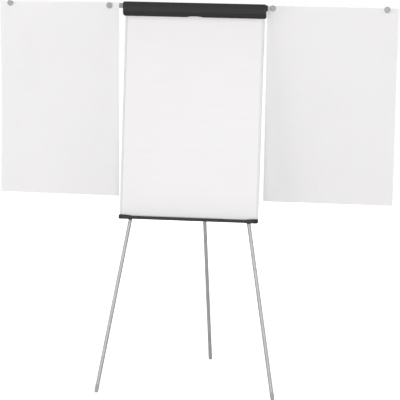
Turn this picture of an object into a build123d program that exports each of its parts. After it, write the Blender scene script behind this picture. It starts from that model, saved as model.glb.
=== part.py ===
from build123d import *
import os
from math import atan2, cos, radians, sin, tan

# Flipchart easel: magnetic whiteboard on three telescopic legs, with a hinged
# clamp bar, a pen tray and two swing-out arms that each carry a paper sheet.
#
# World frame: millimetres, +Z up, the board faces -Y, the origin is on the
# floor in the middle of the footprint.
# Board frame: x to the right, y out of the back of the board (0 is the face of
# the writing surface), z up the slope from the floor. It leans back by TILT.

os.makedirs("parts", exist_ok=True)

# ---- stance -----------------------------------------------------------------
TILT = 5.0            # lean of the board, degrees
Y_SHIFT = -540.0      # floor line of the writing face, behind the origin
SIDES = ((-1, "left"), (1, "right"))

# ---- board ------------------------------------------------------------------
HALF_W = 350.0        # half width over the side frames
PANEL_HALF = 348.3    # half width of the laminated panel
PANEL_Z0 = 893.8      # bottom edge of the panel
PANEL_Z1 = 1955.0     # top edge of the panel
SKIN_T = 0.6          # enamelled steel writing surface
CORE_T = 10.9         # light core
BACK_T = 0.5          # galvanised back sheet
WALL = 1.5            # wall of the aluminium frame profiles
LIP = 11.0            # frame lip seen from the front
BACK_Y = SKIN_T + CORE_T + BACK_T
FRAME_Y0 = -WALL
FRAME_Y1 = BACK_Y + WALL
BOTTOM_Z = 892.0      # underside of the bottom rail
BOTTOM_TOP_Z = 908.0  # top of the bottom rail
TOP_RAIL_Z0 = 1924.0  # lower edge of the top rail
TOP_RAIL_Z1 = 1958.0  # upper edge of the top rail
RAIL_HALF = 349.6     # half length of the top rail
SLOT_HALF = HALF_W - WALL  # half length of the slot that holds the panel
FRAME_EDGE_R = 1.2
LONG_EDGE = 500.0     # edges longer than this run the length of a profile
OVERRUN = 1.0         # how far a cut runs past the solid it cuts

# ---- pad hook track on the top rail -----------------------------------------
TRACK_Y0 = -9.0
TRACK_Z0 = 1926.0
TRACK_Z1 = 1950.0
TRACK_WALL = 2.0
TRACK_SLOT = 5.0      # half height of the slot the pegs run in
HOOK_GAP = 0.3        # between the slider and the track
HOOK_Z = 1938.0
HOOK_X = 175.0        # pegs rest 350 apart
HOOK_HALF = 14.0      # half length of the slider in the track
PEG_R = 4.7
PEG_Y = -22.0         # peg runs from the slider to its head
PEG_HEAD_R = 7.0
PEG_HEAD_Y = -25.0
PEG_EDGE_R = 1.4

# ---- clamp bar --------------------------------------------------------------
CLAMP_Z = 1905.5      # lower edge of the bar
CLAMP_H = 71.0
HINGE_Y = -8.0        # clamp hinge line
HINGE_Z = CLAMP_Z + 57.0
ROD_R = 3.0
ROD_HALF = 355.0      # half length of the hinge rod
LUG_X = (-300, 0, 300)
LUG_HALF = 7.0        # half width of a hinge lug
LUG_R = 6.0
LUG_FOOT_T = 2.5      # plate of the lug on top of the rail
LUG_FRONT = -1.6      # front of that plate
LUG_NECK_Y = (-9.0, -4.0, 6.0)              # neck from the rod to the plate
LUG_NECK_RISE = 4.0   # top of the neck above the hinge line
FIT = 0.05            # radial clearance of every turning or sliding fit
PRESS = 0.02          # radial clearance of every fixed fit
CAP_T = 10.0          # thickness of the clamp end caps
STRIP_Z = CLAMP_Z + 5.0
STRIP_H = 8.0
STRIP_HALF = 338.0    # half length of the grip strip, between the frame lips
STRIP_Y = (-2.3, -0.3)                      # back and front of the strip
STRIP_END_GAP = 0.3
STRIP_SIDE_GAP = 0.2
NOSE_R = 6.0          # rounding of the bar's nose and shoulder
CLAMP_CUT_Y = (-40.0, 5.0)                  # a cut that runs through the bar
# outline and hollow of the bar, heights above its lower edge
CLAMP_OUTLINE = ((-1.8, 0), (-13, 0), (-29, 21), (-32, 46), (-25, 67), (-18, CLAMP_H), (-3, CLAMP_H))
CLAMP_HOLLOW = ((-4.2, 8), (-16.5, 8), (-26.7, 22), (-29.5, 45.8), (-23, 65.2), (-17.4, 68.6),
                (1, 68.6), (1, 15), (-4.2, 15))
END_R = 9.5           # rounding of the bar's ends, seen from the front
NOTCH_W = 86.0        # shallow arched finger notch in the lower edge
NOTCH_H = 4.8
NOTCH_R = NOTCH_W ** 2 / (8 * NOTCH_H) + NOTCH_H / 2
BOSS_T = {"left": 1.0, "right": 6.0}        # hinge boss on each end cap
BOSS_Y = (-27.0, -5.0)
BOSS_Z = (CLAMP_Z + 37.0, CLAMP_Z + 66.0)
BOSS_EDGE_R = 4.0
THROUGH = 400.0       # half length of a cut that runs past both sides of the board
TALL = 3000.0         # a cut that runs past the top of the easel

# ---- pen tray ---------------------------------------------------------------
TRAY_HALF = 286.7     # half length of the open channel
TRAY_FRONT = -52.0
TRAY_Z0 = 890.0
TRAY_Z1 = 904.5
TRAY_WALL = 2.5
TRAY_EDGE_R = 2.0
END_X0 = 287.0        # tray end blocks
END_X1 = 350.0
END_Z0 = 888.8
END_Z1 = 909.3
END_FLAT = 30.0       # level part of the end block's top, the rest slopes to the tray
END_RISE = 0.5        # inner end of that slope above the tray
END_FRONT = TRAY_FRONT - 2.0
END_BACK = -1.6
END_WALL = 3.0
END_FLOOR_T = 4.0
END_POCKET_Y = -5.0   # back of the pocket in the end block
END_CORNER_R = 28.0   # outer front corner, seen from above
END_INNER_R = 2.0
END_EDGE_R = 2.5

# ---- legs -------------------------------------------------------------------
LEG_SPLAY = 9.6       # front legs splay outwards, degrees
LEG_X = 130.0         # front leg pivots
LEG_Y = 35.0
LEG_Z = 1890.0
REAR_Y = 62.0         # rear leg pivot, board frame
REAR_LEAN = 23.5      # rear leg from vertical, degrees
FRONT_UPPER = 975.0   # pivot to lower end of the upper tube
REAR_UPPER = 1010.0
UPPER_R = 11.5
UPPER_BORE = 10.0
LOWER_R = 9.5
LOWER_BORE = 8.3
OVERLAP = 90.0        # lower tube inside the upper tube when fully drawn out
BOLT_R = 4.0
FOOT_R = 10.3         # rubber foot: a cap on the tube that tapers to a flat sole
FOOT_TIP_R = 7.5
FOOT_TAPER = 16.0     # height of the taper
FOOT_H = 42.0
FOOT_EDGE_R = 0.8
FOOT_BELOW = 6.0      # the cone runs this far below the floor before it is cut level
FLOOR_CUT = -100.0
TUBE_END = 12.0       # end of the tube above the floor

# ---- leg sockets on the tray ends, behind the bottom rail -------------------
STRAP_Y0 = -8.0       # strap that passes under the rail to the socket
STRAP_Z0 = 888.0
STRAP_GAP = 0.3
SOCKET_Y1 = 48.5
SOCKET_Z1 = 902.0
SOCKET_AT = 896.0     # height where the leg passes through the socket
SOCKET_X = LEG_X + (LEG_Z - SOCKET_AT) * tan(radians(LEG_SPLAY))
SOCKET_IN = 11.0      # wall of the socket towards the middle of the board
SOCKET_OUT = 13.5
SOCKET_GAP = 0.3      # around the lower tube
SOCKET_CUT = (-1060.0, -980.0)              # along the leg, from its pivot
SOCKET_SLOT = 60.0    # the socket is open towards the middle, where the leg folds
SLEEVE_R = 11.7       # round lower end of the socket
SLEEVE_Z = (-1021.0, -1008.0)               # along the leg, from its pivot

# ---- crown bracket and fasteners --------------------------------------------
CROWN_CORNER_R = 6.0
CROWN = ((-125, 1950), (125, 1950), (155, 1925), (155, 1872), (142, 1860), (40, 1860), (28, 1845),
         (-28, 1845), (-40, 1860), (-142, 1860), (-155, 1872), (-155, 1925))
PLATE_Y = 17.6        # back of the crown plate
EYE_BOSS_Y = 24.7     # face of the boss under each front leg head
RIB_Y = 22.0
RIB_HALF = 4.0
RIB_X = (16.0, 120.0)
EYE_BOSS_R = 12.0
LAP = 1.0             # how far joined shapes of one solid run into each other
CHEEK_X = (14.3, 19.3)                      # clevis cheeks of the rear leg
CHEEK_R = 13.0
CHEEK = ((16, 1858), (16, 1930), (REAR_Y, 1903), (REAR_Y, 1877))
HEEL_STOP = ((16, 1880), (47, 1884), (49.2, 1887.8), (41.6, 1901.8), (16, 1908))
HEEL_HALF = 16.0
BOLT_Y = (15.5, 46.0)
BOLT_HEAD_R = 8.0
BOLT_HEAD_Y = (45.3, 50.0)
BOLT_EDGE_R = 1.5
PIN_HEAD_R = 6.5
PIN_HEAD_T = 3.0
PLATE_SCREWS = ((-110, 1938), (110, 1938), (-60, 1872), (60, 1872))
PLATE_SCREW_R = 5.0
PLATE_SCREW_H = 3.0
PLATE_SCREW_EDGE_R = 1.2
ARM_SCREWS = ((-342, 1935), (-323, 1935), (323, 1935), (342, 1935))
ARM_SCREW_R = 3.2
ARM_SCREW_H = 2.0
ARM_SCREW_EDGE_R = 0.8

# ---- arm brackets -----------------------------------------------------------
BRACKET_X = 318.0     # inner edge of the bracket plate
BRACKET_Y = 16.5      # back of the bracket plate
BRACKET_Z = (1928.0, 1974.5)
EAR_X = 329.0         # inner edge of the two ears
EAR_R = 10.0
EAR_LOW_Z = 1941.0    # underside of the lower ear
EAR_GAP = 0.3         # between each ear and the arm
ARM_PIN_Z = (1940.0, 1977.0)
ARM_PIN_HEAD_R = 5.0

# ---- leg fittings, distances from the lower end of the upper tube -----------
HEAD_H = 18.0         # part of the head above the tube, below the pivot
HEAD_PLUG = 50.0      # the head's spigot ends this far below the pivot
HEAD_HALF_Y = 10.0    # flats on a front leg head
FRONT_EYE_R = 13.0
REAR_EYE_R = 12.0
REAR_EYE_HALF = 14.0
REAR_HEEL_H = 22.0    # heel above the rear pivot that meets the stop
COLLAR_R = 16.0
COLLAR_DOWN = 18.0
COLLAR_UP = 34.0
COLLAR_EDGE_R = 2.5
KNOB_DROP = 9.0
KNOB_BOSS_R = 7.5
KNOB_BOSS_Y = 19.0
KNOB_Y = (19.3, 31.0)
KNOB_R = 10.5
LOBES = 5
LOBE_R = 4.0
LOBE_AT = 9.5         # circle of the lobes
KNOB_TIP = 9.8        # end of the knob's stem, clear of the lower tube
PLUG_H = 20.0         # guide plug above and below the end of the lower tube

# ---- arms, sheets and magnets -----------------------------------------------
ARM_X = 340.0         # arm pivots
ARM_Y = 26.0
ARM_Z0 = 1947.0
ARM_Z1 = 1971.0
ARM_L = 660.0         # pivot to the end of the bar, without its cap
ARM_BACK = {"left": 11.0, "right": 0.0}     # swept back from the board, degrees
SHEET_W = 650.0
SHEET_H = 980.0
SHEET_T = 0.4
SHEET_X0 = {"left": 50.9, "right": 21.0}    # inner edge, from the arm pivot
SHEET_TOP = {"left": 1975.0, "right": 1973.0}
SHEET_FOLD = 1945.5   # below this line the paper hangs plumb
BAR_Y = (-3.7, 4.3)   # front and back of the arm bar
BAR_HOLLOW_Y = (-2.5, 3.1)
BAR_WALL_Z = 1.2
BAR_CLOSED = 20.0     # solid part of the bar at its pivot
KNUCKLE_R = 9.2
ARM_CAP_T = 8.0
ARM_CAP_PLUG = 14.0
ARM_CAP_GAP = 0.1
ARM_CAP_EDGE_R = 2.0
BAR_EDGE_R = 1.5
PAPER_Y = -4.0        # back of the paper
MAGNET_R = 15.0
MAGNET_Y = (-13.5, -4.7)
MAGNET_WALL = 2.0
MAGNET_EDGE_R = 2.5
DISC_Y = (-9.6, -4.9)
DISC_GAP = 0.1
MAGNET_X = {"left": (102.0, 647.3), "right": (48.0, 615.7)}   # inner and outer
MAGNET_Z = {"left": (1958.3, 1967.5), "right": (1960.3, 1966.1)}

BOARD = Location((0, Y_SHIFT, 0), (-TILT, 0, 0))


def box(x0, x1, y0, y1, z0, z1):
    mid = Pos((x0 + x1) / 2, (y0 + y1) / 2, (z0 + z1) / 2)
    return mid * Box(abs(x1 - x0), abs(y1 - y0), abs(z1 - z0))


def rod_x(r, y, z, x0, x1):
    return Pos((x0 + x1) / 2, y, z) * Rot(0, 90, 0) * Cylinder(r, abs(x1 - x0))


def rod_y(r, x, z, y0, y1):
    return Pos(x, (y0 + y1) / 2, z) * Rot(90, 0, 0) * Cylinder(r, abs(y1 - y0))


def rod_z(r, x, y, z0, z1):
    return Pos(x, y, (z0 + z1) / 2) * Cylinder(r, abs(z1 - z0))


def prism_x(outline, x0, x1, z_base=0):
    face = make_face(Polyline(*((y, z_base + z) for y, z in outline), close=True))
    return extrude(Plane.YZ.offset(min(x0, x1)) * face, amount=abs(x1 - x0))


def prism_y(outline, y0, y1):
    face = make_face(Polyline(*outline, close=True))
    return extrude(Plane.XZ.offset(-y0) * face, amount=-(y1 - y0))


def edges_at(shape, axis, value):
    return [e for e in shape.edges() if abs(getattr(e.center(), axis) - value) < 0.01]


def nose_edges(shape, length):
    # the edges along the rounded nose and shoulder of the clamp bar
    return [e for e in shape.edges() if abs(e.length - length) < 0.01
            and e.center().Y < -20 and e.center().Z > CLAMP_Z + 10]


def upright_edges(shape, y, x):
    return [e for e in edges_at(shape, "Y", y) if abs(e.center().X - x) < 0.01]


def save(name, *solids, place=BOARD):
    moved = [place * s for s in solids]
    flat = [one for s in moved for one in s.solids()]
    shape = flat[0] if len(flat) == 1 else Compound(children=flat)
    shape.label = name
    export_step(shape, f"parts/{name}.step")


# ---- the panel and its frame ------------------------------------------------
save("writing_surface", box(-PANEL_HALF, PANEL_HALF, 0, SKIN_T, PANEL_Z0, PANEL_Z1))
save("board_core", box(-PANEL_HALF, PANEL_HALF, SKIN_T, SKIN_T + CORE_T, PANEL_Z0, PANEL_Z1))
save("back_sheet", box(-PANEL_HALF, PANEL_HALF, SKIN_T + CORE_T, BACK_Y, PANEL_Z0, PANEL_Z1))

for side, name in SIDES:
    outer = side * HALF_W
    frame = box(outer, side * (HALF_W - LIP), FRAME_Y0, FRAME_Y1, BOTTOM_TOP_Z, TOP_RAIL_Z0)
    frame -= box(side * SLOT_HALF, 0, 0, BACK_Y, 0, TALL)
    frame = fillet([e for e in edges_at(frame, "X", outer) if e.length > LONG_EDGE], FRAME_EDGE_R)
    save(f"side_frame_{name}", frame)

bottom = box(-HALF_W, HALF_W, FRAME_Y0, FRAME_Y1, BOTTOM_Z, BOTTOM_TOP_Z)
bottom -= box(-SLOT_HALF, SLOT_HALF, 0, BACK_Y, BOTTOM_Z + WALL, TALL)
save("bottom_rail", bottom)

top = box(-RAIL_HALF, RAIL_HALF, FRAME_Y0, FRAME_Y1, TOP_RAIL_Z0, TOP_RAIL_Z1)
top -= box(-SLOT_HALF, SLOT_HALF, 0, BACK_Y, 0, PANEL_Z1 + 0.3)
top += box(-RAIL_HALF, RAIL_HALF, TRACK_Y0, FRAME_Y0, TRACK_Z0, TRACK_Z1)
top -= box(-THROUGH, THROUGH, TRACK_Y0 + TRACK_WALL - HOOK_GAP, FRAME_Y0 - HOOK_GAP,
           TRACK_Z0 + TRACK_WALL, TRACK_Z1 - TRACK_WALL)
top -= box(-THROUGH, THROUGH, TRACK_Y0 - OVERRUN, TRACK_Y0 + TRACK_WALL,
           HOOK_Z - TRACK_SLOT, HOOK_Z + TRACK_SLOT)
save("top_rail", top)

# ---- pad hooks: a slider in the track with a headed peg ---------------------
for side, name in SIDES:
    x = side * HOOK_X
    hook = box(x - HOOK_HALF, x + HOOK_HALF, TRACK_Y0 + TRACK_WALL, FRAME_Y0 - 2 * HOOK_GAP,
               TRACK_Z0 + TRACK_WALL + HOOK_GAP, TRACK_Z1 - TRACK_WALL - HOOK_GAP)
    hook += rod_y(PEG_R, x, HOOK_Z, PEG_Y, TRACK_Y0 + TRACK_WALL + LAP)
    head = rod_y(PEG_HEAD_R, x, HOOK_Z, PEG_HEAD_Y, PEG_Y + LAP)
    hook += fillet(edges_at(head, "Y", PEG_HEAD_Y), PEG_EDGE_R)
    save(f"pad_hook_{name}", hook)

# ---- clamp bar with its hinge ----------------------------------------------
lugs = []
for x in LUG_X:
    x0 = x - LUG_HALF
    x1 = x + LUG_HALF
    plate_z = TOP_RAIL_Z1 + LUG_FOOT_T
    lug = box(x0, x1, LUG_FRONT, BACK_Y, TOP_RAIL_Z1, plate_z)
    front, top_y, back = LUG_NECK_Y
    lug += prism_x(((front, HINGE_Z - LUG_R), (LUG_FRONT, TOP_RAIL_Z1), (back, TOP_RAIL_Z1),
                    (back, plate_z), (top_y, HINGE_Z + LUG_NECK_RISE)), x0, x1)
    lug += rod_x(LUG_R, HINGE_Y, HINGE_Z, x0, x1)
    lug -= rod_x(ROD_R + PRESS, HINGE_Y, HINGE_Z, x0 - OVERRUN, x1 + OVERRUN)
    lugs.append(lug)
save("clamp_hinge_lugs", *lugs)
save("clamp_hinge_rod", rod_x(ROD_R, HINGE_Y, HINGE_Z, -ROD_HALF, ROD_HALF))

bar = prism_x(CLAMP_OUTLINE, -HALF_W, HALF_W, CLAMP_Z)
bar = fillet(nose_edges(bar, 2 * HALF_W), NOSE_R)
bar -= prism_x(CLAMP_HOLLOW, -HALF_W - OVERRUN, HALF_W + OVERRUN, CLAMP_Z)
bar -= rod_y(NOTCH_R, 0, CLAMP_Z + NOTCH_H - NOTCH_R, *CLAMP_CUT_Y)
strip_cut = STRIP_HALF + STRIP_END_GAP
bar -= box(-strip_cut, strip_cut, STRIP_Y[0], 0, STRIP_Z, STRIP_Z + STRIP_H)
save("clamp_bar", bar)
strip = box(-STRIP_HALF, STRIP_HALF, *STRIP_Y, STRIP_Z + STRIP_SIDE_GAP,
            STRIP_Z + STRIP_H - STRIP_SIDE_GAP)
save("clamp_grip_strip", strip)

for side, name in SIDES:
    inner = side * HALF_W
    outer = side * (HALF_W + CAP_T)
    cap = prism_x(CLAMP_OUTLINE, inner, outer, CLAMP_Z)
    cap = fillet(nose_edges(cap, CAP_T), NOSE_R)
    blank = box(inner, outer, *CLAMP_CUT_Y, CLAMP_Z, CLAMP_Z + CLAMP_H)
    depth = CLAMP_CUT_Y[1] - CLAMP_CUT_Y[0]
    cap &= fillet([e for e in edges_at(blank, "X", outer) if abs(e.length - depth) < 0.01], END_R)
    boss_x = outer + side * BOSS_T[name]
    boss = box(outer - side * LAP, boss_x, *BOSS_Y, *BOSS_Z)
    cap += fillet(edges_at(boss, "X", boss_x), min(BOSS_EDGE_R, BOSS_T[name] / 2))
    cap -= rod_x(ROD_R + FIT, HINGE_Y, HINGE_Z, inner, side * (ROD_HALF + 0.5))
    save(f"clamp_end_{name}", cap)

# ---- pen tray ---------------------------------------------------------------
tray = box(-TRAY_HALF, TRAY_HALF, TRAY_FRONT, FRAME_Y0, TRAY_Z0, TRAY_Z1)
tray -= box(-THROUGH, THROUGH, TRAY_FRONT + TRAY_WALL, FRAME_Y0 - TRAY_WALL, TRAY_Z0 + TRAY_WALL, TALL)
tray = fillet([e for e in edges_at(tray, "Z", TRAY_Z0) if e.length > LONG_EDGE
               and e.center().Y < TRAY_FRONT + TRAY_WALL], TRAY_EDGE_R)
save("pen_tray", tray)

for side, name in SIDES:
    outline = [(side * x, z) for x, z in ((END_X0, END_Z0), (END_X1, END_Z0), (END_X1, END_Z1),
                                          (END_X1 - END_FLAT, END_Z1), (END_X0, TRAY_Z1 + END_RISE))]
    block = prism_y(outline, END_FRONT, END_BACK)
    block = fillet(upright_edges(block, END_FRONT, side * END_X1), END_CORNER_R)
    block = fillet(upright_edges(block, END_FRONT, side * END_X0), END_INNER_R)
    block = fillet([e for e in edges_at(block, "Z", END_Z0) if e.center().Y < END_BACK - LAP],
                   END_EDGE_R)
    pocket_front = END_FRONT + END_WALL
    pocket = box(side * (END_X0 + END_WALL), side * (END_X1 - END_WALL), pocket_front,
                 END_POCKET_Y, END_Z0 + END_FLOOR_T, TALL)
    corner = upright_edges(pocket, pocket_front, side * (END_X1 - END_WALL))
    block -= fillet(corner, END_CORNER_R - END_WALL)
    x0 = side * (SOCKET_X - SOCKET_IN)
    x1 = side * (SOCKET_X + SOCKET_OUT)
    strap_z1 = BOTTOM_Z - STRAP_GAP
    block += box(x0, x1, STRAP_Y0, END_BACK, STRAP_Z0, END_Z0 + LAP)
    block += box(x0, x1, STRAP_Y0, SOCKET_Y1, STRAP_Z0, strap_z1)
    block += box(x0, x1, FRAME_Y1 + STRAP_GAP, SOCKET_Y1, STRAP_Z0, SOCKET_Z1)
    leg_place = Location((side * LEG_X, LEG_Y, LEG_Z), (0, -side * LEG_SPLAY, 0))
    block += leg_place * rod_z(SLEEVE_R, 0, 0, *SLEEVE_Z)
    hole_r = LOWER_R + SOCKET_GAP
    socket = rod_z(hole_r, 0, 0, *SOCKET_CUT)
    socket += box(0, -side * SOCKET_SLOT, -hole_r, hole_r, *SOCKET_CUT)
    block -= leg_place * socket
    save(f"tray_end_{name}", block)

# ---- crown bracket behind the top of the board ------------------------------
crown = prism_y(CROWN, BACK_Y, PLATE_Y)
crown = fillet([e for e in crown.edges() if abs(e.length - (PLATE_Y - BACK_Y)) < 0.01], CROWN_CORNER_R)
crown -= box(-THROUGH, THROUGH, 0, FRAME_Y1, TOP_RAIL_Z0 - 0.1, TALL)
for side, name in SIDES:
    cheek_x = [side * x for x in CHEEK_X]
    crown += rod_y(EYE_BOSS_R, side * LEG_X, LEG_Z, PLATE_Y - LAP, EYE_BOSS_Y)
    crown += box(side * RIB_X[0], side * RIB_X[1], PLATE_Y - LAP, RIB_Y,
                 LEG_Z - RIB_HALF, LEG_Z + RIB_HALF)
    crown += prism_x(CHEEK, *cheek_x)
    crown += rod_x(CHEEK_R, REAR_Y, LEG_Z, *cheek_x)
    crown -= rod_y(BOLT_R + PRESS, side * LEG_X, LEG_Z, BOLT_Y[0] - 0.5, BOLT_Y[1])
crown += prism_x(HEEL_STOP, -HEEL_HALF, HEEL_HALF)
crown -= rod_x(BOLT_R + PRESS, REAR_Y, LEG_Z, -CHEEK_X[1] - OVERRUN, CHEEK_X[1] + OVERRUN)
save("crown_bracket", crown)

bolts = []
for side, name in SIDES:
    bolt = rod_y(BOLT_R, side * LEG_X, LEG_Z, *BOLT_Y)
    head = rod_y(BOLT_HEAD_R, side * LEG_X, LEG_Z, *BOLT_HEAD_Y)
    bolt += fillet(edges_at(head, "Y", BOLT_HEAD_Y[1]), BOLT_EDGE_R)
    bolts.append(bolt)
save("leg_pivot_bolts", *bolts)

cheek_out = CHEEK_X[1]
pin = rod_x(BOLT_R, REAR_Y, LEG_Z, -cheek_out - LAP, cheek_out + LAP)
for side, name in SIDES:
    pin += rod_x(PIN_HEAD_R, REAR_Y, LEG_Z, side * cheek_out, side * (cheek_out + PIN_HEAD_T))
save("rear_hinge_pin", pin)

screws = []
for x, z in PLATE_SCREWS:
    head = rod_y(PLATE_SCREW_R, x, z, PLATE_Y, PLATE_Y + PLATE_SCREW_H)
    screws.append(fillet(edges_at(head, "Y", PLATE_Y + PLATE_SCREW_H), PLATE_SCREW_EDGE_R))
for x, z in ARM_SCREWS:
    head = rod_y(ARM_SCREW_R, x, z, BRACKET_Y, BRACKET_Y + ARM_SCREW_H)
    screws.append(fillet(edges_at(head, "Y", BRACKET_Y + ARM_SCREW_H), ARM_SCREW_EDGE_R))
save("back_screws", *screws)

# ---- arm brackets and pivots ------------------------------------------------
pins = []
for side, name in SIDES:
    bracket = box(side * BRACKET_X, side * HALF_W, FRAME_Y1, BRACKET_Y, *BRACKET_Z)
    for z0, z1 in ((EAR_LOW_Z, ARM_Z0 - EAR_GAP), (ARM_Z1 + EAR_GAP, BRACKET_Z[1])):
        bracket += box(side * EAR_X, side * HALF_W, BRACKET_Y - LAP, ARM_Y, z0, z1)
        bracket += rod_z(EAR_R, side * ARM_X, ARM_Y, z0, z1)
    bracket -= rod_z(ROD_R + PRESS, side * ARM_X, ARM_Y, EAR_LOW_Z - OVERRUN, BRACKET_Z[1] + OVERRUN)
    save(f"arm_bracket_{name}", bracket)
    pin = rod_z(ROD_R, side * ARM_X, ARM_Y, ARM_PIN_Z[0], BRACKET_Z[1] + 0.5)
    pin += rod_z(ARM_PIN_HEAD_R, side * ARM_X, ARM_Y, BRACKET_Z[1], ARM_PIN_Z[1])
    pins.append(pin)
save("arm_pivot_pins", *pins)


# ---- legs: origin on the pivot, the leg runs down -z ------------------------
def knob_outline():
    knob = rod_y(KNOB_R, 0, 0, *KNOB_Y)
    for k in range(LOBES):
        knob += Rot(0, 360 / LOBES * k, 0) * rod_y(LOBE_R, LOBE_AT, 0, *KNOB_Y)
    return knob


def leg_head(eye_axis):
    head = rod_z(UPPER_R, 0, 0, -HEAD_H, 0) + rod_z(UPPER_BORE - FIT, 0, 0, -HEAD_PLUG, -HEAD_H + LAP)
    if eye_axis == "y":
        head &= box(-FRONT_EYE_R, FRONT_EYE_R, -HEAD_HALF_Y, HEAD_HALF_Y, -HEAD_PLUG, FRONT_EYE_R)
        head += rod_y(FRONT_EYE_R, 0, 0, -HEAD_HALF_Y, HEAD_HALF_Y)
        return head - rod_y(BOLT_R + FIT, 0, 0, -FRONT_EYE_R, FRONT_EYE_R)
    head += rod_x(REAR_EYE_R, 0, 0, -REAR_EYE_HALF, REAR_EYE_HALF)
    head += box(-REAR_EYE_HALF, REAR_EYE_HALF, -REAR_EYE_R, HEAD_HALF_Y, 0, REAR_HEEL_H)
    return head - rod_x(BOLT_R + FIT, 0, 0, -REAR_EYE_HALF - OVERRUN, REAR_EYE_HALF + OVERRUN)


def leg(name, place, upper, length, eye_axis):
    save(f"{name}_head", leg_head(eye_axis), place=place)
    tube = rod_z(UPPER_R, 0, 0, -upper, -HEAD_H) - rod_z(UPPER_BORE, 0, 0, -upper - OVERRUN, 0)
    save(f"{name}_upper_tube", tube, place=place)

    z_knob = -upper - KNOB_DROP
    collar_z0 = -upper - COLLAR_DOWN
    collar_z1 = -upper + COLLAR_UP
    collar = rod_z(COLLAR_R, 0, 0, collar_z0, collar_z1)
    collar = fillet(edges_at(collar, "Z", collar_z0) + edges_at(collar, "Z", collar_z1), COLLAR_EDGE_R)
    collar += rod_y(KNOB_BOSS_R, 0, z_knob, LOWER_R, KNOB_BOSS_Y)
    collar -= rod_z(UPPER_R + PRESS, 0, 0, -upper, collar_z1 + OVERRUN)
    collar -= rod_z(LOWER_R + FIT, 0, 0, collar_z0 - OVERRUN, -upper + OVERRUN)
    collar -= rod_y(ROD_R + FIT, 0, z_knob, 0, KNOB_BOSS_Y + OVERRUN)
    save(f"{name}_lock_collar", collar, place=place)

    knob = Pos(0, 0, z_knob) * knob_outline() + rod_y(ROD_R, 0, z_knob, KNOB_TIP, KNOB_Y[0] + LAP)
    save(f"{name}_lock_knob", knob, place=place)

    top_z = -upper + OVERLAP
    lower = rod_z(LOWER_R, 0, 0, -length + TUBE_END, top_z)
    lower -= rod_z(LOWER_BORE, 0, 0, -length, top_z + OVERRUN)
    save(f"{name}_lower_tube", lower, place=place)
    plug = rod_z(UPPER_BORE - FIT, 0, 0, top_z, top_z + PLUG_H)
    plug += rod_z(LOWER_BORE - FIT, 0, 0, top_z - PLUG_H, top_z)
    save(f"{name}_guide_plug", plug, place=place)

    # the cone runs a little below the floor, which then cuts the sole level
    foot = rod_z(FOOT_R, 0, 0, -length + FOOT_TAPER, -length + FOOT_H)
    foot = fillet(edges_at(foot, "Z", -length + FOOT_H), FOOT_EDGE_R)
    foot += Pos(0, 0, -length + (FOOT_TAPER - FOOT_BELOW) / 2) * Cone(FOOT_TIP_R, FOOT_R,
                                                                   FOOT_TAPER + FOOT_BELOW)
    foot -= rod_z(LOWER_R + PRESS, 0, 0, -length + TUBE_END, 0)
    foot = place * foot
    foot -= box(-TALL, TALL, -TALL, TALL, FLOOR_CUT, 0)
    save(f"{name}_foot", foot, place=Location())


for side, name in SIDES:
    place = BOARD * Location((side * LEG_X, LEG_Y, LEG_Z), (0, -side * LEG_SPLAY, 0))
    length = (LEG_Z - LEG_Y * tan(radians(TILT))) / cos(radians(LEG_SPLAY))
    leg(f"front_leg_{name}", place, FRONT_UPPER, length, "y")

hinge_z = LEG_Z * cos(radians(TILT)) - REAR_Y * sin(radians(TILT))
place = BOARD * Location((0, REAR_Y, LEG_Z), (REAR_LEAN + TILT, 0, 0))
leg("rear_leg", place, REAR_UPPER, hinge_z / cos(radians(REAR_LEAN)), "x")

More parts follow.
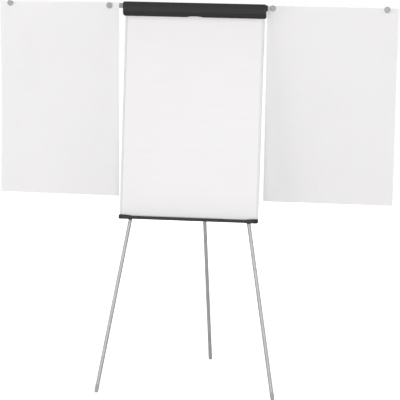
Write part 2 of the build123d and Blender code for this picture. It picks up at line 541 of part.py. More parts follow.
# ---- arms: origin on the pivot, the arm runs along side * x -----------------
for side, name in SIDES:
    turn = side * ARM_BACK[name]
    place = BOARD * Location((side * ARM_X, ARM_Y, 0), (0, 0, turn))
    bar = box(0, side * ARM_L, *BAR_Y, ARM_Z0, ARM_Z1)
    bar = fillet([e for e in bar.edges() if e.length > LONG_EDGE], BAR_EDGE_R)
    bar -= box(side * BAR_CLOSED, side * (ARM_L + OVERRUN), *BAR_HOLLOW_Y,
               ARM_Z0 + BAR_WALL_Z, ARM_Z1 - BAR_WALL_Z)
    bar += rod_z(KNUCKLE_R, 0, 0, ARM_Z0, ARM_Z1)
    bar += box(0, side * KNUCKLE_R, -KNUCKLE_R, 0, ARM_Z0, ARM_Z1)
    bar -= rod_z(ROD_R + FIT, 0, 0, ARM_Z0 - OVERRUN, ARM_Z1 + OVERRUN)
    save(f"arm_{name}", bar, place=place)

    tip = side * (ARM_L + ARM_CAP_T)
    cap = box(side * ARM_L, tip, *BAR_Y, ARM_Z0, ARM_Z1)
    cap = fillet(edges_at(cap, "X", tip), ARM_CAP_EDGE_R)
    plug_wall = BAR_WALL_Z + ARM_CAP_GAP
    cap += box(side * (ARM_L - ARM_CAP_PLUG), side * (ARM_L + LAP),
               BAR_HOLLOW_Y[0] + ARM_CAP_GAP, BAR_HOLLOW_Y[1] - ARM_CAP_GAP,
               ARM_Z0 + plug_wall, ARM_Z1 - plug_wall)
    save(f"arm_cap_{name}", cap, place=place)

    # the paper lies flat on the front of the bar and hangs plumb below it
    x0 = side * SHEET_X0[name]
    x1 = side * (SHEET_X0[name] + SHEET_W)
    lean = atan2(sin(radians(TILT)) * cos(radians(turn)), cos(radians(TILT)))
    top_z = SHEET_TOP[name]
    drop = SHEET_H - (top_z - SHEET_FOLD)
    front = PAPER_Y - SHEET_T
    foot_y = drop * sin(lean)
    foot_z = SHEET_FOLD - drop * cos(lean)
    outline = ((front, top_z), (front, SHEET_FOLD), (front + foot_y, foot_z),
               (PAPER_Y + foot_y, foot_z), (PAPER_Y, SHEET_FOLD), (PAPER_Y, top_z))
    save(f"sheet_{name}", prism_x(outline, x0, x1), place=place)

    for which, x, z in zip(("inner", "outer"), MAGNET_X[name], MAGNET_Z[name]):
        shell = rod_y(MAGNET_R, side * x, z, *MAGNET_Y)
        shell = fillet(edges_at(shell, "Y", MAGNET_Y[0]), MAGNET_EDGE_R)
        shell -= rod_y(MAGNET_R - MAGNET_WALL, side * x, z, DISC_Y[0] - DISC_GAP, MAGNET_Y[1] + OVERRUN)
        disc = rod_y(MAGNET_R - MAGNET_WALL - DISC_GAP, side * x, z, *DISC_Y)
        save(f"magnet_{name}_{which}", shell, disc, place=place)
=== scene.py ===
import math
import bmesh
import bpy
from mathutils import Matrix, Vector, noise


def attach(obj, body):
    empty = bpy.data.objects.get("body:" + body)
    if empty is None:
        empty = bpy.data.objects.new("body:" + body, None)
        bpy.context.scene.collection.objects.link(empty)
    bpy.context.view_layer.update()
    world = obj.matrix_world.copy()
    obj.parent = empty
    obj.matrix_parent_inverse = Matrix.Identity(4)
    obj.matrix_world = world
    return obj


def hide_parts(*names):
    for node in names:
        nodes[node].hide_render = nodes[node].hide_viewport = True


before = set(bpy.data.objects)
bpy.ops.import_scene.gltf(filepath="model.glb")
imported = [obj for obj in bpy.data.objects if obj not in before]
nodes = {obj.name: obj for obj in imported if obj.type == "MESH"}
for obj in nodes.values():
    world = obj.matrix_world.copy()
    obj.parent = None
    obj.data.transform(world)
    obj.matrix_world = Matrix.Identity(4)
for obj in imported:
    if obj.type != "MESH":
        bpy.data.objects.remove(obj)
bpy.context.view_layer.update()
scene = bpy.context.scene
scene.view_settings.view_transform = "Standard"

SIDES = ((-1, "left"), (1, "right"))

# ---- frames of the moving groups, in metres ----------------------------------
TILT = math.radians(5.0)
BOARD = Matrix.Translation((0, -0.540, 0)) @ Matrix.Rotation(-TILT, 4, "X")
ARM_PIVOT = (0.340, 0.026)
ARM_BACK = {"left": math.radians(11.0), "right": 0.0}
LEG_PIVOT = (0.130, 0.035, 1.890)
LEG_SPLAY = math.radians(9.6)
REAR_PIVOT = (0, 0.062, 1.890)
REAR_LEAN = math.radians(23.5)
FRONT_UPPER = 0.975
REAR_UPPER = 1.010

ARM = {}
LEG = {}
for side, name in SIDES:
    turn = Matrix.Rotation(side * ARM_BACK[name], 4, "Z")
    ARM[name] = BOARD @ Matrix.Translation((side * ARM_PIVOT[0], ARM_PIVOT[1], 0)) @ turn
    splay = Matrix.Rotation(-side * LEG_SPLAY, 4, "Y")
    place = BOARD @ Matrix.Translation((side * LEG_PIVOT[0], LEG_PIVOT[1], LEG_PIVOT[2])) @ splay
    front_length = (LEG_PIVOT[2] - LEG_PIVOT[1] * math.tan(TILT)) / math.cos(LEG_SPLAY)
    LEG[f"front_leg_{name}"] = (place, FRONT_UPPER, front_length)
rear_place = BOARD @ Matrix.Translation(REAR_PIVOT) @ Matrix.Rotation(REAR_LEAN + TILT, 4, "X")
rear_hinge_z = REAR_PIVOT[2] * math.cos(TILT) - REAR_PIVOT[1] * math.sin(TILT)
LEG["rear_leg"] = (rear_place, REAR_UPPER, rear_hinge_z / math.cos(REAR_LEAN))


# ---- materials ---------------------------------------------------------------
class Nodes:
    """A node material built up from object coordinates, in metres."""

    def __init__(self, name, **sockets):
        self.mat = bpy.data.materials.new(name)
        self.mat.use_nodes = True
        self.tree = self.mat.node_tree
        self.bsdf = self.tree.nodes["Principled BSDF"]
        for key, value in sockets.items():
            self.bsdf.inputs[key.replace("_", " ")].default_value = value
        self.coord = self.tree.nodes.new("ShaderNodeTexCoord").outputs["Object"]
        self.height = None

    def link(self, a, b):
        self.tree.links.new(a, b)

    def stretched(self, scale):
        node = self.tree.nodes.new("ShaderNodeMapping")
        node.inputs["Scale"].default_value = scale
        self.link(self.coord, node.inputs["Vector"])
        return node.outputs["Vector"]

    def noise(self, scale, detail=3, rough=0.55, stretch=None, distortion=0):
        node = self.tree.nodes.new("ShaderNodeTexNoise")
        node.inputs["Scale"].default_value = scale
        node.inputs["Detail"].default_value = detail
        node.inputs["Roughness"].default_value = rough
        node.inputs["Distortion"].default_value = distortion
        self.link(self.stretched(stretch) if stretch else self.coord, node.inputs["Vector"])
        return node.outputs["Fac"]

    def cells(self, scale, feature="F1", randomness=1.0, stretch=None):
        node = self.tree.nodes.new("ShaderNodeTexVoronoi")
        node.feature = feature
        node.inputs["Scale"].default_value = scale
        node.inputs["Randomness"].default_value = randomness
        self.link(self.stretched(stretch) if stretch else self.coord, node.inputs["Vector"])
        return node

    def ramp(self, fac, low, high, start=0.35, end=0.65):
        """Colour from low to high while fac goes from start to end."""
        node = self.tree.nodes.new("ShaderNodeValToRGB")
        node.color_ramp.elements[0].position = start
        node.color_ramp.elements[1].position = end
        node.color_ramp.elements[0].color = (*low, 1)
        node.color_ramp.elements[1].color = (*high, 1)
        self.link(fac, node.inputs["Fac"])
        return node.outputs["Color"]

    def span(self, fac, low, high, start=0.3, end=0.7):
        """Number from low to high while fac goes from start to end."""
        node = self.tree.nodes.new("ShaderNodeMapRange")
        node.inputs["From Min"].default_value = start
        node.inputs["From Max"].default_value = end
        node.inputs["To Min"].default_value = low
        node.inputs["To Max"].default_value = high
        self.link(fac, node.inputs["Value"])
        return node.outputs["Result"]

    def mix(self, fac, a, b, mode="MIX"):
        node = self.tree.nodes.new("ShaderNodeMix")
        node.data_type = "RGBA"
        node.blend_type = mode
        for value, socket in ((fac, node.inputs[0]), (a, node.inputs[6]), (b, node.inputs[7])):
            if isinstance(value, bpy.types.NodeSocket):
                self.link(value, socket)
            else:
                socket.default_value = value
        return node.outputs[2]

    def colour(self, socket):
        self.link(socket, self.bsdf.inputs["Base Color"])

    def roughness(self, socket):
        self.link(socket, self.bsdf.inputs["Roughness"])

    def bump(self, fac, strength, distance):
        node = self.tree.nodes.new("ShaderNodeBump")
        node.inputs["Strength"].default_value = strength
        node.inputs["Distance"].default_value = distance
        self.link(fac, node.inputs["Height"])
        if self.height is not None:
            self.link(self.height, node.inputs["Normal"])
        self.height = node.outputs["Normal"]
        self.link(self.height, self.bsdf.inputs["Normal"])


SCUFF = 0.15             # how far a scuff line goes towards the rubbed colour


def grey(value, warm=0.0):
    """A grey of this value, redder and less blue by the fraction warm."""
    return (value * (1 + warm), value, value * (1 - warm))


def make_enamel():
    """White enamelled steel: glossy, faint wiping streaks and a grey haze of dry-wiped ink."""
    m = Nodes("white_enamel", Coat_Weight=0.08, Coat_Roughness=0.12, Specular_IOR_Level=0.2)
    haze = m.noise(3.2, detail=4, distortion=0.6)
    streak = m.noise(1.0, detail=5, stretch=(4, 20, 46))
    base = m.ramp(haze, (0.842, 0.826, 0.828), (0.856, 0.841, 0.843))
    wiped = m.ramp(streak, grey(0.990), grey(1.0), 0.34, 0.60)
    m.colour(m.mix(1.0, base, wiped, "MULTIPLY"))
    m.roughness(m.span(streak, 0.29, 0.33))
    m.bump(m.noise(420, detail=2), 0.12, 0.0002)
    return m.mat


def make_paper():
    """Uncoated flipchart paper: fine fibres, cloudy formation, matt."""
    m = Nodes("flipchart_paper", Specular_IOR_Level=0.18)
    cloud = m.noise(95, detail=4, rough=0.6)
    large = m.noise(2.6, detail=2)
    base = m.ramp(cloud, (0.872, 0.859, 0.858), (0.893, 0.881, 0.880))
    m.colour(m.mix(1.0, base, m.ramp(large, grey(0.985), grey(1.0)), "MULTIPLY"))
    m.roughness(m.span(cloud, 0.82, 0.93))
    m.bump(m.noise(1400, detail=3), 0.25, 0.00006)
    m.bump(m.noise(14, detail=2), 0.10, 0.0012)
    return m.mat


def make_anodised(name, along):
    """Satin anodised aluminium with drawing lines along the profile."""
    m = Nodes(name, Metallic=0.10, Specular_IOR_Level=0.3)
    stretch = tuple(2.0 if axis == along else 900.0 for axis in "XYZ")
    lines = m.noise(1.0, detail=4, stretch=stretch)
    blotch = m.noise(9, detail=3)
    base = m.ramp(lines, grey(0.63), grey(0.71))
    m.colour(m.mix(1.0, base, m.ramp(blotch, grey(0.97), grey(1.0)), "MULTIPLY"))
    m.roughness(m.span(lines, 0.34, 0.46))
    m.bump(lines, 0.10, 0.0001)
    return m.mat


def make_powder(name, value, rough, metallic=0.0, specular=0.4):
    """Powder coat: orange peel at about 2 mm, fine grain, and light scuffs."""
    m = Nodes(name, Metallic=metallic, Specular_IOR_Level=specular)
    peel = m.noise(480, detail=2)
    fine = m.noise(1500, detail=2)
    patch = m.noise(16, detail=4, distortion=0.5)
    scratch = m.cells(38, "DISTANCE_TO_EDGE", stretch=(1, 1, 0.16)).outputs["Distance"]
    base = m.ramp(patch, grey(value * 0.93), grey(value * 1.06))
    rubbed = tuple(min(1, c + 0.10 + value * 0.25) for c in grey(value))
    worn = m.mix(m.ramp(scratch, grey(SCUFF), grey(0), 0.0, 0.012), base, (*rubbed, 1))
    speck = m.ramp(fine, grey(0.94), grey(1.04), 0.40, 0.62)
    m.colour(m.mix(1.0, worn, speck, "MULTIPLY"))
    m.roughness(m.span(patch, rough - 0.06, rough + 0.07))
    m.bump(peel, 0.22, 0.00025)
    m.bump(fine, 0.18, 0.00008)
    return m.mat


def make_plastic(name, value, rough):
    """Moulded plastic with a spark-eroded grain, polished here and there by handling."""
    m = Nodes(name, Specular_IOR_Level=0.35)
    grain = m.cells(950, "SMOOTH_F1").outputs["Distance"]
    patch = m.noise(24, detail=4, distortion=0.4)
    speck = m.noise(700, detail=2)
    base = m.ramp(patch, grey(value * 0.90), grey(value * 1.10))
    m.colour(m.mix(1.0, base, m.ramp(speck, grey(0.92), grey(1.05)), "MULTIPLY"))
    m.roughness(m.span(patch, rough - 0.08, rough + 0.07))
    m.bump(grain, 0.35, 0.00012)
    return m.mat


def make_rubber(name, value):
    """Matt rubber, or sintered ferrite, with a little dust."""
    m = Nodes(name, Specular_IOR_Level=0.25)
    dust = m.noise(60, detail=5)
    base = m.ramp(dust, grey(value, 0.004), grey(value * 1.12 + 0.01, 0.012), 0.42, 0.75)
    m.colour(base)
    m.roughness(m.span(dust, 0.72, 0.9))
    m.bump(m.noise(1200, detail=3), 0.3, 0.0001)
    return m.mat


def make_steel(name, value, rough, along=None):
    """Zinc plated steel: mottled plating and fine turning marks."""
    m = Nodes(name, Metallic=1.0)
    stretch = tuple(3.0 if axis == along else 1400.0 for axis in "XYZ") if along else (1, 1, 1)
    lines = m.noise(1.0 if along else 900, detail=3, stretch=stretch)
    patch = m.noise(180, detail=4)
    base = m.ramp(patch, grey(value * 0.86, -0.012), grey(value * 1.08, 0.006))
    m.colour(base)
    m.roughness(m.span(lines, rough - 0.06, rough + 0.10))
    m.bump(lines, 0.12, 0.00006)
    return m.mat


def make_galvanised():
    """Hot-dip galvanised sheet: spangles of about 12 mm, each with its own tone."""
    m = Nodes("galvanised_sheet", Metallic=0.9)
    spangle = m.cells(82)
    edge = m.cells(82, "DISTANCE_TO_EDGE").outputs["Distance"]
    frost = m.noise(340, detail=4)
    tone = m.ramp(spangle.outputs["Color"], grey(0.56, -0.008), grey(0.67, -0.008), 0.1, 0.9)
    rim = m.ramp(edge, grey(0.93), grey(1.0), 0.0, 0.06)
    haze = m.ramp(frost, grey(0.96), grey(1.02))
    m.colour(m.mix(1.0, m.mix(1.0, tone, rim, "MULTIPLY"), haze, "MULTIPLY"))
    m.roughness(m.span(spangle.outputs["Distance"], 0.36, 0.52, 0.0, 0.8))
    m.bump(edge, 0.08, 0.0003)
    m.bump(frost, 0.08, 0.0001)
    return m.mat


def make_card():
    """Honeycomb card, seen only at a cut edge."""
    m = Nodes("honeycomb_card", Specular_IOR_Level=0.15)
    comb = m.cells(90, "DISTANCE_TO_EDGE", randomness=0.1).outputs["Distance"]
    fibre = m.noise(400, detail=4)
    m.colour(m.ramp(comb, (0.42, 0.30, 0.18), (0.60, 0.47, 0.31), 0.0, 0.10))
    m.roughness(m.span(fibre, 0.8, 0.95))
    m.bump(comb, 0.3, 0.0004)
    return m.mat


def make_magnet():
    """Grey moulded cap: soft swirl in the colour and fine handling scratches."""
    m = Nodes("magnet_cap", Specular_IOR_Level=0.4, Coat_Weight=0.15, Coat_Roughness=0.2)
    swirl = m.noise(60, detail=4, distortion=1.5)
    scratch = m.cells(170, "DISTANCE_TO_EDGE").outputs["Distance"]
    base = m.ramp(swirl, grey(0.385), grey(0.425))
    m.colour(m.mix(1.0, base, m.ramp(scratch, grey(1.05), grey(1.0), 0.0, 0.02), "MULTIPLY"))
    m.roughness(m.span(swirl, 0.30, 0.46))
    m.bump(m.noise(900, detail=2), 0.15, 0.00008)
    return m.mat


enamel = make_enamel()
paper = make_paper()
frame_upright = make_anodised("anodised_upright", "Z")
frame_level = make_anodised("anodised_level", "X")
bar_paint = make_powder("charcoal_powder_coat", 0.030, 0.64, specular=0.28)
charcoal = make_plastic("charcoal_plastic", 0.026, 0.58)
leg_paint = make_powder("silver_powder_coat", 0.50, 0.42, metallic=0.25)
arm_paint = make_powder("grey_powder_coat", 0.34, 0.45, metallic=0.1)
grey_plastic = make_plastic("grey_plastic", 0.30, 0.55)
steel = make_steel("zinc_plated_steel", 0.60, 0.32)
rod_steel = make_steel("drawn_steel_rod", 0.62, 0.28, along="X")
rubber = make_rubber("black_rubber", 0.018)
foot_rubber = make_rubber("grey_foot_rubber", 0.42)
galvanised = make_galvanised()
card = make_card()
magnet_cap = make_magnet()
ferrite = make_rubber("ferrite", 0.05)

NODE_MATERIAL = {
    "writing_surface": enamel, "board_core": card, "back_sheet": galvanised,
    "side_frame_left": frame_upright, "side_frame_right": frame_upright,
    "bottom_rail": frame_level, "top_rail": frame_level,
    "clamp_bar": bar_paint, "clamp_grip_strip": rubber,
    "clamp_end_left": charcoal, "clamp_end_right": charcoal,
    "clamp_hinge_lugs": steel, "clamp_hinge_rod": rod_steel, "rear_hinge_pin": rod_steel,
    "arm_pivot_pins": steel, "leg_pivot_bolts": steel, "back_screws": steel,
    "pen_tray": charcoal, "tray_end_left": charcoal, "tray_end_right": charcoal,
    "crown_bracket": bar_paint, "arm_bracket_left": grey_plastic, "arm_bracket_right": grey_plastic,
    "arm_left": arm_paint, "arm_right": arm_paint,
    "arm_cap_left": charcoal, "arm_cap_right": charcoal,
    "pad_hook_left": charcoal, "pad_hook_right": charcoal,
    "sheet_left": paper, "sheet_right": paper,
}
LEG_MATERIAL = {
    "head": grey_plastic, "upper_tube": leg_paint, "lower_tube": leg_paint, "lock_collar": charcoal,
    "lock_knob": charcoal, "guide_plug": grey_plastic, "foot": foot_rubber,
}
for node_name, node in nodes.items():
    chosen = NODE_MATERIAL.get(node_name, magnet_cap)
    for ending, leg_material in LEG_MATERIAL.items():
        if node_name.endswith(ending) and "leg" in node_name:
            chosen = leg_material
    node.data.materials.clear()
    node.data.materials.append(chosen)


# ---- mesh helpers ------------------------------------------------------------
def finish_mesh(name, bm, material, place, body, sharp_deg=32):
    """Turns bm into a piece that sits at place and rides on body, smooth except at sharp edges."""
    bmesh.ops.remove_doubles(bm, verts=bm.verts, dist=1e-7)
    bmesh.ops.recalc_face_normals(bm, faces=bm.faces)
    limit = math.radians(sharp_deg)
    for face in bm.faces:
        face.smooth = True
    for edge in bm.edges:
        edge.smooth = not (edge.is_manifold and edge.calc_face_angle(0) > limit)
    bm.transform(place)
    mesh = bpy.data.meshes.new(name)
    bm.to_mesh(mesh)
    bm.free()
    mesh.materials.append(material)
    piece = bpy.data.objects.new(name, mesh)
    scene.collection.objects.link(piece)
    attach(piece, body)
    return piece


def metres(profile):
    """Points of a profile given in millimetres."""
    return [(r / 1000, h / 1000) for r, h in profile]


def lathe(bm, profile, place=Matrix(), steps=48, closed=True):
    """Revolves (radius, height) points about +Z. closed joins the last point to the first."""
    rings = []
    for radius, height in profile:
        if radius < 1e-7:
            rings.append([bm.verts.new(place @ Vector((0, 0, height)))])
            continue
        ring = []
        for k in range(steps):
            a = 2 * math.pi * k / steps
            point = Vector((radius * math.cos(a), radius * math.sin(a), height))
            ring.append(bm.verts.new(place @ point))
        rings.append(ring)
    pairs = list(zip(rings, rings[1:]))
    if closed:
        pairs.append((rings[-1], rings[0]))
    for a, b in pairs:
        bridge(bm, a, b)


def bridge(bm, a, b):
    """Faces between two rings of points, either of which may be a single point on the axis."""
    steps = max(len(a), len(b))
    for k in range(steps):
        j = (k + 1) % steps
        if len(a) == 1 and len(b) == 1:
            continue
        if len(a) == 1:
            bm.faces.new((a[0], b[j], b[k]))
        elif len(b) == 1:
            bm.faces.new((a[k], a[j], b[0]))
        else:
            bm.faces.new((a[k], a[j], b[j], b[k]))


def cut_by(bm, cutter):
    """bm minus cutter, both closed meshes."""
    objects = []
    for source, name in ((bm, "cut_body"), (cutter, "cut_tool")):
        mesh = bpy.data.meshes.new(name)
        bmesh.ops.recalc_face_normals(source, faces=source.faces)
        source.to_mesh(mesh)
        source.free()
        objects.append(bpy.data.objects.new(name, mesh))
        scene.collection.objects.link(objects[-1])
    body, tool = objects
    boolean = body.modifiers.new("cut", "BOOLEAN")
    boolean.operation = "DIFFERENCE"
    boolean.solver = "EXACT"
    boolean.object = tool
    evaluated = body.evaluated_get(bpy.context.evaluated_depsgraph_get())
    result = bpy.data.meshes.new_from_object(evaluated)
    out = bmesh.new()
    out.from_mesh(result)
    for done in objects:
        bpy.data.objects.remove(done)
    return out


AXIS_Y = Matrix.Rotation(math.radians(-90), 4, "X")     # takes +Z to +Y


# ---- paper sheets --------------------------------------------------------------
SHEET_W = 0.650
SHEET_H = 0.980
SHEET_INNER = {"left": 0.0509, "right": 0.0210}   # inner edge from the arm pivot
SHEET_TOP = {"left": 1.9750, "right": 1.9730}
SHEET_FOLD = 1.9455      # below this line the paper hangs plumb
PAPER_FRONT = -0.0044    # front of the paper, in the arm's frame
PAPER_T = 0.0003
WAVE = {"left": (0.0035, 0.5), "right": (0.0030, 2.1)}     # reach and phase of the waves across
CORNER = {"left": 0.020, "right": 0.010}                  # outer lower corner curls forward
WAVES_ACROSS = 1.15
RIPPLE = 0.006
COLUMNS = 52
ROWS = 78
FOLD_ROWS = 3            # rows of the part that lies on the arm


def paper_point(side, name, u, s, lean):
    """Point of the sheet in the arm's frame: u runs outwards, s runs down from the top edge."""
    x = side * (SHEET_INNER[name] + u)
    flat = SHEET_TOP[name] - SHEET_FOLD
    below = max(0.0, s - flat)
    y = PAPER_FRONT + PAPER_T + below * math.sin(lean)
    z = SHEET_TOP[name] - min(s, flat) - below * math.cos(lean)
    reach, phase = WAVE[name]
    grown = (below / SHEET_H) ** 1.5
    across = u / SHEET_W
    wave = math.sin(2 * math.pi * across * WAVES_ACROSS + phase)
    ripple = noise.noise(Vector((u * 3.1, s * 2.3, phase)))
    y += grown * (reach * wave + RIPPLE * ripple) - grown ** 2 * across ** 4 * CORNER[name]
    return Vector((x, y, z))


for side, name in SIDES:
    turn = ARM_BACK[name]
    lean = math.atan2(math.sin(TILT) * math.cos(turn), math.cos(TILT))
    bm = bmesh.new()
    front, back = [], []
    flat = SHEET_TOP[name] - SHEET_FOLD
    for j in range(ROWS + 1):
        if j <= FOLD_ROWS:
            s = flat * j / FOLD_ROWS
        else:
            s = flat + (SHEET_H - flat) * (j - FOLD_ROWS) / (ROWS - FOLD_ROWS)
        for i in range(COLUMNS + 1):
            p = paper_point(side, name, SHEET_W * i / COLUMNS, s, lean)
            front.append(bm.verts.new(p - Vector((0, PAPER_T, 0))))
            back.append(bm.verts.new(p))
    wide = COLUMNS + 1
    for j in range(ROWS):
        for i in range(COLUMNS):
            k = j * wide + i
            bm.faces.new([front[n] for n in (k, k + 1, k + 1 + wide, k + wide)])
            bm.faces.new([back[n] for n in (k, k + wide, k + 1 + wide, k + 1)])
    rim = list(range(wide))
    rim += [j * wide + COLUMNS for j in range(1, ROWS + 1)]
    rim += [ROWS * wide + i for i in range(COLUMNS - 1, -1, -1)]
    rim += [j * wide for j in range(ROWS - 1, 0, -1)]
    for a, b in zip(rim, rim[1:] + rim[:1]):
        bm.faces.new((front[b], front[a], back[a], back[b]))
    sheet = finish_mesh(f"paper_sheet_{name}", bm, paper, ARM[name], f"arm_{name}")
    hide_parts(f"sheet_{name}")

# ---- magnets: a moulded cap over a ferrite disc --------------------------------
MAGNET_X = {"left": (0.1020, 0.6473), "right": (0.0480, 0.6157)}     # inner and outer
MAGNET_Z = {"left": (1.9583, 1.9675), "right": (1.9603, 1.9661)}
MAGNET_CAP = (           # radius and distance in front of the arm's axis, in mm
    (13.0, -4.7), (14.8, -4.7), (15.0, -4.9), (15.0, -10.9), (14.8, -11.8), (14.2, -12.6),
    (13.3, -13.2), (12.2, -13.45), (11.6, -13.5), (11.3, -13.38), (11.0, -13.1), (10.7, -13.1),
    (10.4, -13.34), (10.0, -13.4), (6.0, -13.2), (0.0, -13.1), (0.0, -9.7), (13.0, -9.7))
MAGNET_DISC = ((0, -9.6), (12.6, -9.6), (12.9, -9.3), (12.9, -5.2), (12.6, -4.9), (0, -4.9))
for side, name in SIDES:
    for which, x, z in zip(("inner", "outer"), MAGNET_X[name], MAGNET_Z[name]):
        node_name = f"magnet_{name}_{which}"
        place = ARM[name] @ Matrix.Translation((side * x, 0, z)) @ AXIS_Y
        bm = bmesh.new()
        lathe(bm, metres(MAGNET_CAP), steps=64)
        cap = finish_mesh(f"{node_name}_cap", bm, magnet_cap, place, node_name)
        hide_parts(node_name)
        bm = bmesh.new()
        lathe(bm, metres(MAGNET_DISC), closed=False)
        finish_mesh(f"{node_name}_disc", bm, ferrite, place, node_name)

# ---- feet: grooved rubber ends, cut level by the floor --------------------------
FOOT = (                 # radius and height above the floor along the leg, in mm
    (9.54, 42.0), (9.9, 42.0), (10.2, 41.7), (10.3, 41.2), (10.3, 35.0), (9.95, 34.6),
    (9.9, 34.0), (9.95, 33.4), (10.3, 33.0), (10.3, 30.0), (9.95, 29.6), (9.9, 29.0),
    (9.95, 28.4), (10.3, 28.0), (10.3, 25.0), (9.95, 24.6), (9.9, 24.0), (9.95, 23.4),
    (10.3, 23.0), (10.3, 17.5), (10.2, 16.0), (7.5, -6.0), (0.0, -6.0), (0.0, 12.0), (9.54, 12.0))
for name, (place, _, length) in LEG.items():
    bm = bmesh.new()
    lathe(bm, [(r, z - length) for r, z in metres(FOOT)], steps=56)
    bm.transform(place)
    cut = bmesh.ops.bisect_plane(bm, geom=bm.verts[:] + bm.edges[:] + bm.faces[:],
                                 plane_co=(0, 0, 0), plane_no=(0, 0, -1), clear_outer=True)
    rim = [g for g in cut["geom_cut"] if isinstance(g, bmesh.types.BMEdge)]
    bmesh.ops.edgeloop_fill(bm, edges=rim)
    foot = finish_mesh(f"{name}_rubber_foot", bm, foot_rubber, Matrix(),
                       f"{name}_extension")
    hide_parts(f"{name}_foot")

# ---- lock collars and knobs ------------------------------------------------------
COLLAR_R = 16.0
COLLAR = (               # radius and height over the end of the upper tube, in mm
    (COLLAR_R, 31.5), (15.6, 33.2), (14.6, 34.0), (12.2, 34.0), (11.55, 33.4), (11.55, 0.0),
    (9.56, 0.0), (9.56, -17.4), (10.1, -18.0), (13.6, -18.0), (15.2, -17.3), (COLLAR_R, -15.6))
GROOVES = 5
GROOVE_FIRST = 2.0       # foot of the lowest groove
GROOVE_PITCH = 5.2
GROOVE = ((0, 0.0), (-0.7, 0.7), (-0.7, 1.3), (0, 2.0))     # radius and height from its foot
KNOB_AT = -9.0           # knob's axis, below the joint of the two tubes
KNOB_R = 11.5
LOBES = 5
LOBE_REACH = 2.0
KNOB_STEPS = 90
KNOB_SHAPE = (           # part of the radius, height, part of the lobes
    (0.84, 19.3, 1), (0.94, 19.6, 1), (1.0, 20.8, 1), (1.0, 28.4, 1), (0.975, 29.8, 1),
    (0.91, 30.7, 1), (0.83, 31.0, 0.9), (0.74, 30.9, 0.7), (0.66, 30.3, 0.4), (0.56, 29.9, 0),
    (0.44, 29.8, 0), (0.40, 30.0, 0), (0.37, 30.9, 0), (0.33, 31.0, 0), (0.16, 30.9, 0))
KNOB_STEM = ((0, 9.8), (3.0, 9.8), (3.0, 20.0), (0, 20.0))
KNOB_BOSS = ((0, 10.5), (7.5, 10.5), (7.5, 18.2), (7.0, 19.0), (3.4, 19.0), (3.2, 18.4),
             (3.2, 16.0), (0, 16.0))


def collar_profile():
    """The collar's closed outline, with grip grooves round its upper half."""
    outline = list(COLLAR)
    for k in range(GROOVES):
        z = GROOVE_FIRST + GROOVE_PITCH * k
        outline += [(COLLAR_R + r, z + h) for r, h in GROOVE]
    return outline


def knob_mesh():
    """Five-lobed knob about +Z, from 19.3 to 31 mm, with a dished face round a raised boss."""
    bm = bmesh.new()
    rings = []
    for scale, z, lobed in KNOB_SHAPE:
        ring = []
        for k in range(KNOB_STEPS):
            a = 2 * math.pi * k / KNOB_STEPS
            r = scale * (KNOB_R + LOBE_REACH * lobed * math.cos(LOBES * a)) / 1000
            ring.append(bm.verts.new((r * math.cos(a), r * math.sin(a), z / 1000)))
        rings.append(ring)
    for a, b in zip(rings, rings[1:]):
        bridge(bm, a, b)
    bm.faces.new(rings[0][::-1])
    bm.faces.new(rings[-1])
    lathe(bm, metres(KNOB_STEM), steps=24, closed=False)
    return bm


for name, (place, upper, _) in LEG.items():
    joint_place = place @ Matrix.Translation((0, 0, -upper))
    bm = bmesh.new()
    lathe(bm, metres(collar_profile()), steps=64)
    at_knob = Matrix.Translation((0, 0, KNOB_AT / 1000)) @ AXIS_Y
    lathe(bm, metres(KNOB_BOSS), place=at_knob, steps=40, closed=False)
    collar = finish_mesh(f"{name}_collar_detail", bm, charcoal, joint_place, name)
    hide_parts(f"{name}_lock_collar")
    knob = finish_mesh(f"{name}_knob_detail", knob_mesh(), charcoal, joint_place @ at_knob,
                       f"{name}_knob")
    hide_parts(f"{name}_lock_knob")

# ---- screws with cross recesses, and the hexagon-socket leg bolts ----------------
PLATE_Y = 17.6
ARM_SCREW_Y = 16.5
PAN_HEAD = (             # parts of the head's radius and height
    (0, 0), (1, 0), (1, 0.35), (0.95, 0.62), (0.80, 0.85), (0.55, 0.97), (0.25, 1.0), (0, 1.0))
PLATE_SCREW = (5.0, 3.0)         # radius and height of the head
ARM_SCREW = (3.2, 2.0)
CROSS_REACH = 1.10               # recess, as parts of the head's radius
CROSS_WIDTH = 0.22
FIRST_TURN = 0.4                 # each screw stopped at another angle
NEXT_TURN = 1.1
SCREWS = [(x, z, PLATE_Y, *PLATE_SCREW) for x, z in ((-110, 1938), (110, 1938),
                                                     (-60, 1872), (60, 1872))]
SCREWS += [(x, 1935, ARM_SCREW_Y, *ARM_SCREW) for x in (-342, -323, 323, 342)]


def block(bm, sx, sy, sz, place):
    bmesh.ops.create_cube(bm, size=1, matrix=place @ Matrix.Diagonal((sx, sy, sz, 1)))


def screw_head(radius, height, angle):
    """Pan head with a cross recess turned by angle."""
    body = bmesh.new()
    lathe(body, metres((r * radius, h * height) for r, h in PAN_HEAD), steps=48, closed=False)
    tool = bmesh.new()
    turned = Matrix.Rotation(angle, 4, "Z")
    deep = Matrix.Translation((0, 0, height / 1000))
    arm_l = radius * CROSS_REACH / 1000
    arm_w = radius * CROSS_WIDTH / 1000
    depth = height / 1000
    block(tool, arm_l, arm_w, depth, turned @ deep)
    cross = cut_by(body, tool)
    tool = bmesh.new()
    block(tool, arm_w, arm_l, depth, turned @ deep)
    return cut_by(cross, tool)


bm = bmesh.new()
for k, (x, z, y, radius, height) in enumerate(SCREWS):
    head = screw_head(radius, height, FIRST_TURN + NEXT_TURN * k)
    head.transform(Matrix.Translation((x / 1000, y / 1000, z / 1000)) @ AXIS_Y)
    mesh = bpy.data.meshes.new("screw")
    head.to_mesh(mesh)
    head.free()
    bm.from_mesh(mesh)
screws = finish_mesh("back_screws_detail", bm, steel, BOARD, "board")
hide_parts("back_screws")

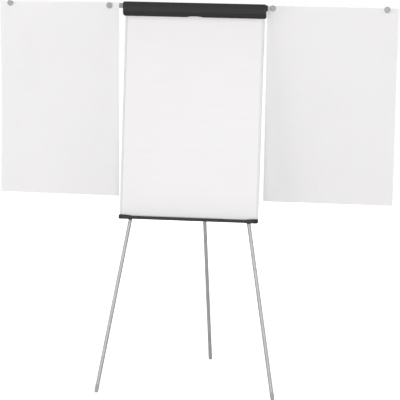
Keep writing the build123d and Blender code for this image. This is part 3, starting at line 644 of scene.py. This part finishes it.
BOLT_TOP = 50.0
BOLT = ((0, 15.5), (4.0, 15.5), (4.0, 45.3), (7.7, 45.3), (8.0, 45.6), (8.0, 47.0), (7.6, 48.4),
        (6.4, 49.5), (4.6, BOLT_TOP), (0, BOLT_TOP))
SOCKET_R = 2.9
SOCKET_DEPTH = 2.6
SOCKET_TURN = 0.3
bm = bmesh.new()
for side, name in SIDES:
    body = bmesh.new()
    lathe(body, metres(BOLT), steps=48, closed=False)
    tool = bmesh.new()
    deep = Matrix.Translation((0, 0, BOLT_TOP / 1000))
    turned = Matrix.Rotation(SOCKET_TURN * side, 4, "Z")
    bmesh.ops.create_cone(tool, cap_ends=True, segments=6, radius1=SOCKET_R / 1000,
                          radius2=SOCKET_R / 1000, depth=2 * SOCKET_DEPTH / 1000,
                          matrix=deep @ turned)
    bolt = cut_by(body, tool)
    bolt.transform(Matrix.Translation((side * LEG_PIVOT[0], 0, LEG_PIVOT[2])) @ AXIS_Y)
    mesh = bpy.data.meshes.new("bolt")
    bolt.to_mesh(mesh)
    bolt.free()
    bm.from_mesh(mesh)
bolts = finish_mesh("leg_pivot_bolts_detail", bm, steel, BOARD, "board")
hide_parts("leg_pivot_bolts")

# ---- floor, light and camera -----------------------------------------------------
FLOOR_HALF = 40.0
FLOOR_GLOW = 0.95        # lifts the floor to a plain white for the camera
SKY_LIGHT = 0.34         # what the sky gives the object, while the camera sees it white
bm = bmesh.new()
bmesh.ops.create_grid(bm, x_segments=1, y_segments=1, size=FLOOR_HALF)
mesh = bpy.data.meshes.new("studio_floor")
bm.to_mesh(mesh)
bm.free()
floor_mat = Nodes("studio_floor", Specular_IOR_Level=0.1)
floor_mat.colour(floor_mat.ramp(floor_mat.noise(0.6, detail=2), grey(0.40), grey(0.42)))
floor_mat.roughness(floor_mat.span(floor_mat.noise(30), 0.8, 0.95))
floor_path = floor_mat.tree.nodes.new("ShaderNodeLightPath")
glow = floor_mat.span(floor_path.outputs["Is Camera Ray"], 0.0, FLOOR_GLOW, 0.0, 1.0)
floor_mat.bsdf.inputs["Emission Color"].default_value = (1, 1, 1, 1)
floor_mat.link(glow, floor_mat.bsdf.inputs["Emission Strength"])
mesh.materials.append(floor_mat.mat)
floor = bpy.data.objects.new("studio_floor", mesh)
scene.collection.objects.link(floor)

world = bpy.data.worlds.new("studio")
world.use_nodes = True
scene.world = world
sky = world.node_tree.nodes["Background"]
sky.inputs["Color"].default_value = (1, 1, 1, 1)
sky.inputs["Strength"].default_value = SKY_LIGHT
seen = world.node_tree.nodes.new("ShaderNodeBackground")
seen.inputs["Color"].default_value = (1, 1, 1, 1)
seen.inputs["Strength"].default_value = 1.0
path = world.node_tree.nodes.new("ShaderNodeLightPath")
either = world.node_tree.nodes.new("ShaderNodeMixShader")
sky_link = world.node_tree.links.new
sky_link(path.outputs["Is Camera Ray"], either.inputs["Fac"])
sky_link(sky.outputs["Background"], either.inputs[1])
sky_link(seen.outputs["Background"], either.inputs[2])
sky_link(either.outputs["Shader"], world.node_tree.nodes["World Output"].inputs["Surface"])


def soft_box(name, at, towards, size, watts):
    light = bpy.data.lights.new(name, "AREA")
    light.shape = "RECTANGLE"
    light.size, light.size_y = size
    light.energy = watts
    holder = bpy.data.objects.new(name, light)
    holder.location = at
    holder.rotation_mode = "QUATERNION"
    holder.rotation_quaternion = (Vector(towards) - Vector(at)).to_track_quat("-Z", "Y")
    scene.collection.objects.link(holder)


soft_box("front", (0.7, -11.8, 1.7), (0, -0.4, 1.1), (9.0, 3.2), 642)
soft_box("top", (0.0, -3.2, 5.2), (0, -0.4, 1.9), (4.0, 1.2), 26)
soft_box("left", (-4.6, -2.5, 1.8), (0, -0.4, 1.1), (2.6, 3.0), 62)
soft_box("right", (4.6, -2.0, 1.6), (0, -0.3, 0.9), (2.6, 3.0), 42)
soft_box("back", (-1.5, 8.0, 4.0), (0, -0.3, 1.2), (4.0, 2.0), 400)

CAMERA_AT = Vector((1.4340, -10.4961, 2.1501))
YAW = math.radians(-7.816)
PITCH = math.radians(-6.52)
ROLL = math.radians(1.14)
LENS = 183.7             # mm
SENSOR = 36.0            # mm
FAR = 200.0
forward = Vector((math.sin(YAW) * math.cos(PITCH),
                  math.cos(YAW) * math.cos(PITCH), math.sin(PITCH)))
level = Vector((math.cos(YAW), -math.sin(YAW), 0))
upright = level.cross(forward)
right = math.cos(ROLL) * level + math.sin(ROLL) * upright
up = -math.sin(ROLL) * level + math.cos(ROLL) * upright
camera = bpy.data.objects.new("camera", bpy.data.cameras.new("camera"))
camera.data.sensor_width = SENSOR
camera.data.lens = LENS
camera.data.clip_end = FAR
axes = Matrix((right, up, -forward)).transposed()
camera.matrix_world = Matrix.Translation(CAMERA_AT) @ axes.to_4x4()
scene.collection.objects.link(camera)
scene.camera = camera
